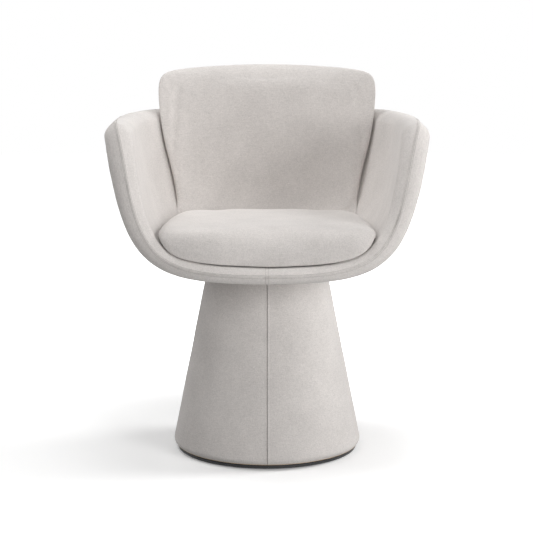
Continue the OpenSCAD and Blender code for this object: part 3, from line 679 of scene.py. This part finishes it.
def cushion_point(turn, r, top):
    s, c = np.sin(turn), np.cos(turn)
    ahead, behind = np.maximum(0, c), np.maximum(0, -c)
    r = np.maximum(r, 1e-6)
    bulge = squared(s, c, np.where(c > 0, 5.3, 5.4)) * (1 - 0.004 * np.exp(-((1 - r) / 0.005) ** 2))
    wide_x = seat_half * bulge * s * (1 - 0.100 * (behind * bulge) ** 1.6)
    wide_y = -np.where(c > 0, seat_wide_y - seat_front_y, seat_rear_y - seat_wide_y) * bulge * c
    x, y = wide_x * r, seat_wide_y + wide_y * r
    edge = rest_height(wide_x, seat_wide_y + wide_y) + 0.002 + 0.0055 * s * s
    if top:
        rear, side = np.clip((y + 0.09) / 0.25, 0, 1), np.abs(x) / seat_half
        dome = 0.4976 - 0.0125 * rear ** 2 - 0.0015 * side ** 2
        dome = dome - 0.0030 * rear * np.exp(-((side - 0.53) / 0.13) ** 2)
        round_power = 24 - 20 * ahead - 2 * behind ** 4
        z = edge + (dome - edge) * np.sqrt(np.maximum(0, 1 - r ** round_power))
    else:
        z = rest_height(x, y) + 0.0005
        z = z + (edge - z) * r ** 60
    return np.stack((x, y, z), -1)


# A panel's square cloth is drawn to a rounded outline, so that no point of it gathers.
# The steps close up towards the edge, where the panel turns over.
def panel(way, flat, flat_count, turn_count, power):
    start = math.asin(flat ** (power / 2))
    bent = np.sin(np.linspace(start, math.pi / 2, turn_count)[1:]) ** (2 / power)
    half = np.concatenate((np.linspace(0, flat, flat_count), bent))
    steps = np.concatenate((-half[:0:-1], half))
    s, t = np.meshgrid(steps, steps)
    return np.arctan2(s, way * t), np.maximum(np.abs(s), np.abs(t)), s, t


def point_tree(points):
    tree = kdtree.KDTree(len(points))
    for i, p in enumerate(points):
        tree.insert(p, i)
    tree.balance()
    return tree


# A stuffed piece is blown up a little as cloth, its held side fixed, and the way that
# each point moves is passed on to the sewn panels, so that they keep their seams.
swell_rules = {"quality": 6, "mass": 0.3, "tension_stiffness": 12, "compression_stiffness": 12,
               "shear_stiffness": 6, "bending_stiffness": 1.5, "vertex_group_mass": "held",
               "use_pressure": True, "uniform_pressure_force": 3.0}
swell_steps, swell_net = 20, 0.006


def swell(piece, held, most):
    soft = piece.copy()
    soft.data = piece.data.copy()
    bpy.context.collection.objects.link(soft)
    blocks = soft.modifiers.new("even net", "REMESH")
    blocks.mode = "VOXEL"
    blocks.voxel_size = swell_net
    evaluated = soft.evaluated_get(bpy.context.evaluated_depsgraph_get())
    net = bpy.data.meshes.new_from_object(evaluated)
    soft.modifiers.clear()
    soft.data = net
    start = np.array([v.co[:] for v in net.vertices])
    group = soft.vertex_groups.new(name="held")
    for i, p in enumerate(start):
        group.add([i], held(p), "REPLACE")
    cloth = soft.modifiers.new("stuffing", "CLOTH")
    for key, value in swell_rules.items():
        setattr(cloth.settings, key, value)
    cloth.settings.effector_weights.gravity = 0
    scene = bpy.context.scene
    for step in range(1, swell_steps + 1):
        scene.frame_set(step)
    moved = soft.evaluated_get(bpy.context.evaluated_depsgraph_get()).data
    shift = np.array([v.co[:] for v in moved.vertices]) - start
    size = np.linalg.norm(shift, axis=1, keepdims=True)
    shift *= most * np.tanh(size / most) / np.maximum(size, 1e-9)
    scene.frame_set(1)
    tree = point_tree(start)
    for v in piece.data.vertices:
        found = tree.find_n(v.co, 6)
        weights = [1 / (d + 0.002) ** 2 for _, _, d in found]
        push = sum((Vector(shift[i]) * w for (_, i, _), w in zip(found, weights)), Vector())
        v.co += push / sum(weights)
    bpy.data.objects.remove(soft)


turn, r, s, t = panel(-1, 0.88, 40, 28, 8)
chart = np.stack((s * 0.21, t * 0.23), -1)
cushion = lay_cloth("seat_cushion_cover", [(cushion_point(turn, r, True), chart),
                                           (cushion_point(turn, r, False), chart)])
swell(cushion, lambda p: 1.0 if p[2] < 0.447 and p[1] > -0.27 else 0.0, 0.0022)
cushion.data.materials.append(wool)
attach(cushion, "seat")
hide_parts("seat_cushion")

# The back pad is shaped foam on a bent board, in a felt cover that is drawn over its soft
# edge and sewn to a rear panel. It lies against the tub's lining and stands above the rim.
pad_turn, pad_low, pad_top = math.radians(51.5), 0.45, 1.135
pad_gap, pad_half, pad_lie = 0.0020, 0.031, 0.0006


def pad_point(a, r, front):
    bulge = squared(np.sin(a), np.cos(a), np.where(np.cos(a) > 0, 15.0, 60.0)) * r
    bulge = bulge * (1 - 0.004 * np.exp(-((1 - r) / 0.004) ** 2))
    side, rise = bulge * np.sin(a), bulge * np.cos(a)
    up = pad_low + (pad_top - pad_low) * (1 + rise) / 2
    flare = 0.05 * smooth(np.clip((0.69 - up) / 0.15, 0, 1))
    turn = pad_turn * side * (1 - 0.062 * np.cos(math.pi / 2 * rise) ** 4 + flare)
    up = up - 0.012 * side ** 2 * np.maximum(0, rise)
    free = smooth(np.clip((up - 0.84) / 0.16, 0, 1))
    thin = (0.86 - 0.10 * free) * np.minimum(1, np.abs(turn) / pad_turn) ** 4
    half = pad_half * (1 - thin)
    edge = pad_lie + (pad_gap + half - pad_lie) * free
    face = pad_gap + 2 * half if front else pad_lie
    round_power = 44 - 28 * np.abs(np.cos(a)) if front else 20
    off = edge + (face - edge) * np.sqrt(np.maximum(0, 1 - r ** round_power))
    place = back_wall(turn, up, padding(up))
    place[..., 1] -= off
    return place


a, r, s, t = panel(1, 0.88, 44, 28, 16)
chart = np.stack((s * 0.24, t * 0.17), -1)
pad_rear = pad_point(a, r, False)
pad = lay_cloth("back_pad_cover", [(pad_point(a, r, True), chart), (pad_rear, chart)])
rear_tree = point_tree(pad_rear.reshape(-1, 3))
swell(pad, lambda p: min(1, max(0, (0.016 - rear_tree.find(p)[2]) / 0.012)), 0.002)
pad.data.materials.append(wool)
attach(pad, "seat")
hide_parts("back_pad", "back_panel")

# Steel, plastic, wood and foam inside the chair keep their shapes and are dressed piece by
# piece. They share one effect: a fine speckle for colour and relief, and a wide one for
# the sheen.
speckle, add, given, result = effect_group(
    "surface speckle",
    [("Place", "Vector", None), ("Scale", "Float", 400.0), ("Low", "Float", 0.4),
     ("High", "Float", 0.6)],
    [("Value", "Float"), ("Wide", "Float")])
fine, coarse = add("TexNoise"), add("TexNoise")
fine.inputs["Detail"].default_value = 4
coarse.inputs["Scale"].default_value = 18
coarse.inputs["Detail"].default_value = 3
spread = add("MapRange")
wire(speckle, (given.outputs["Place"], fine.inputs["Vector"]),
     (given.outputs["Scale"], fine.inputs["Scale"]), (given.outputs["Place"], coarse.inputs["Vector"]),
     (fine.outputs["Fac"], spread.inputs["Value"]), (given.outputs["Low"], spread.inputs["From Min"]),
     (given.outputs["High"], spread.inputs["From Max"]),
     (spread.outputs["Result"], result.inputs["Value"]), (coarse.outputs["Fac"], result.inputs["Wide"]))


def speckled_material(name, dark, light, rough, metallic=0.0, scale=400.0, bump=0.2,
                      distance=0.0002, stretch=None, specular=0.5):
    finish = bpy.data.materials.new(name)
    finish.use_nodes = True
    tree = finish.node_tree
    add = nodes_of(tree)
    place = add("TexCoord").outputs["Object"]
    if stretch:
        lay = add("Mapping")
        lay.inputs["Scale"].default_value = stretch
        wire(tree, (place, lay.inputs["Vector"]))
        place = lay.outputs["Vector"]
    speck = add("Group", node_tree=speckle)
    speck.inputs["Scale"].default_value = scale
    tint = add("Mix", data_type="RGBA")
    factor = next(i for i in tint.inputs if i.name == "Factor" and i.type == "VALUE")
    colours = [i for i in tint.inputs if i.type == "RGBA"]
    colours[0].default_value, colours[1].default_value = (*dark, 1), (*light, 1)
    mixed = next(o for o in tint.outputs if o.type == "RGBA")
    matt = add("MapRange")
    matt.inputs["To Min"].default_value, matt.inputs["To Max"].default_value = rough
    relief = add("Bump")
    relief.inputs["Strength"].default_value = bump
    relief.inputs["Distance"].default_value = distance
    surface = add("BsdfPrincipled")
    surface.inputs["Metallic"].default_value = metallic
    surface.inputs["Specular IOR Level"].default_value = specular
    out = add("OutputMaterial")
    wire(tree, (place, speck.inputs["Place"]), (speck.outputs["Value"], factor),
         (mixed, surface.inputs["Base Color"]), (speck.outputs["Wide"], matt.inputs["Value"]),
         (matt.outputs["Result"], surface.inputs["Roughness"]),
         (speck.outputs["Value"], relief.inputs["Height"]),
         (relief.outputs["Normal"], surface.inputs["Normal"]),
         (surface.outputs[0], out.inputs["Surface"]))
    return finish


def dress(material, *nodes):
    for node in nodes:
        slots = bpy.data.objects[node].data.materials
        slots.clear()
        slots.append(material)


# The floor plate, column, ribs, head plate and seat plate are powder-coated black steel.
coated = speckled_material("black powder coat", (0.018, 0.018, 0.019), (0.040, 0.040, 0.042),
                           (0.42, 0.62), scale=900, bump=0.35, distance=0.00015, specular=0.4)
dress(coated, "floor_plate", "column_tube", "column_gussets", "head_plate", "seat_plate")

# The swivel's plates, pin, washer, clip, bolts, nuts and screws are zinc-plated steel,
# with a fine drawn grain, and its balls are polished steel.
zinc = speckled_material("bright zinc plating", (0.50, 0.51, 0.53), (0.66, 0.67, 0.69),
                         (0.24, 0.44), metallic=1.0, scale=1, bump=0.12, distance=0.0001,
                         stretch=(60, 900, 60))
dress(zinc, "swivel_base_plate", "swivel_top_plate", "king_pin", "pin_washer", "pin_clip",
      "base_bolts", "base_nuts", "seat_bolts", "seat_nuts", "plate_screws", "head_screws")
polished = speckled_material("polished bearing steel", (0.70, 0.71, 0.73), (0.78, 0.79, 0.81),
                             (0.08, 0.16), metallic=1.0, scale=260, bump=0.03, distance=0.00005)
dress(polished, "bearing_balls")

# The ball cage, the glides and the moulded shell are plastics of different grain.
caged = speckled_material("moulded black cage", (0.020, 0.020, 0.021), (0.034, 0.034, 0.036),
                          (0.38, 0.5), scale=700)
dress(caged, "ball_cage")
glide = speckled_material("felt-faced glide", (0.022, 0.022, 0.023), (0.052, 0.051, 0.050),
                          (0.8, 0.95), scale=1500, bump=0.5, distance=0.0003, specular=0.15)
dress(glide, "floor_glides")
shell = speckled_material("moulded grey shell", (0.075, 0.075, 0.080), (0.105, 0.105, 0.112),
                          (0.5, 0.66), scale=500, bump=0.3, distance=0.0003, specular=0.35)
dress(shell, "shell_core")

# The cone's wall and the board in the pad are bent birch plywood with upright grain. The
# plies show as bands on the cut edges of the two flat rings. The foot ring is coloured black,
# as painted shade, because its edge shows as part of the dark line of shade and black floor plate at
# the floor.
bent_birch = speckled_material("bent birch plywood", (0.50, 0.35, 0.20), (0.66, 0.50, 0.32),
                               (0.5, 0.68), scale=1, bump=0.25, distance=0.0003,
                               stretch=(300, 300, 12), specular=0.3)
dress(bent_birch, "cone_wall", "back_board")
plies = speckled_material("birch plies", (0.40, 0.27, 0.15), (0.68, 0.52, 0.34), (0.55, 0.72),
                          scale=1, bump=0.3, distance=0.0003, stretch=(14, 14, 900), specular=0.3)
dress(plies, "cone_top_ring")
# Painted shade: black plies for the foot ring's edge in the dark line at the floor.
plies_black_as_shade = speckled_material("black birch plies as painted shade", (0.012, 0.010, 0.009),
                            (0.035, 0.028, 0.024), (0.5, 0.68), scale=1, bump=0.3,
                            distance=0.0003, stretch=(14, 14, 900), specular=0.3)
dress(plies_black_as_shade, "cone_foot_ring")

# The foam under the cone's sleeve is open-celled and cream.
foam = speckled_material("open-cell foam", (0.60, 0.55, 0.43), (0.84, 0.80, 0.68), (0.9, 1.0),
                         scale=1100, bump=0.8, distance=0.0008, specular=0.1)
cone_padding.data.materials.append(foam)
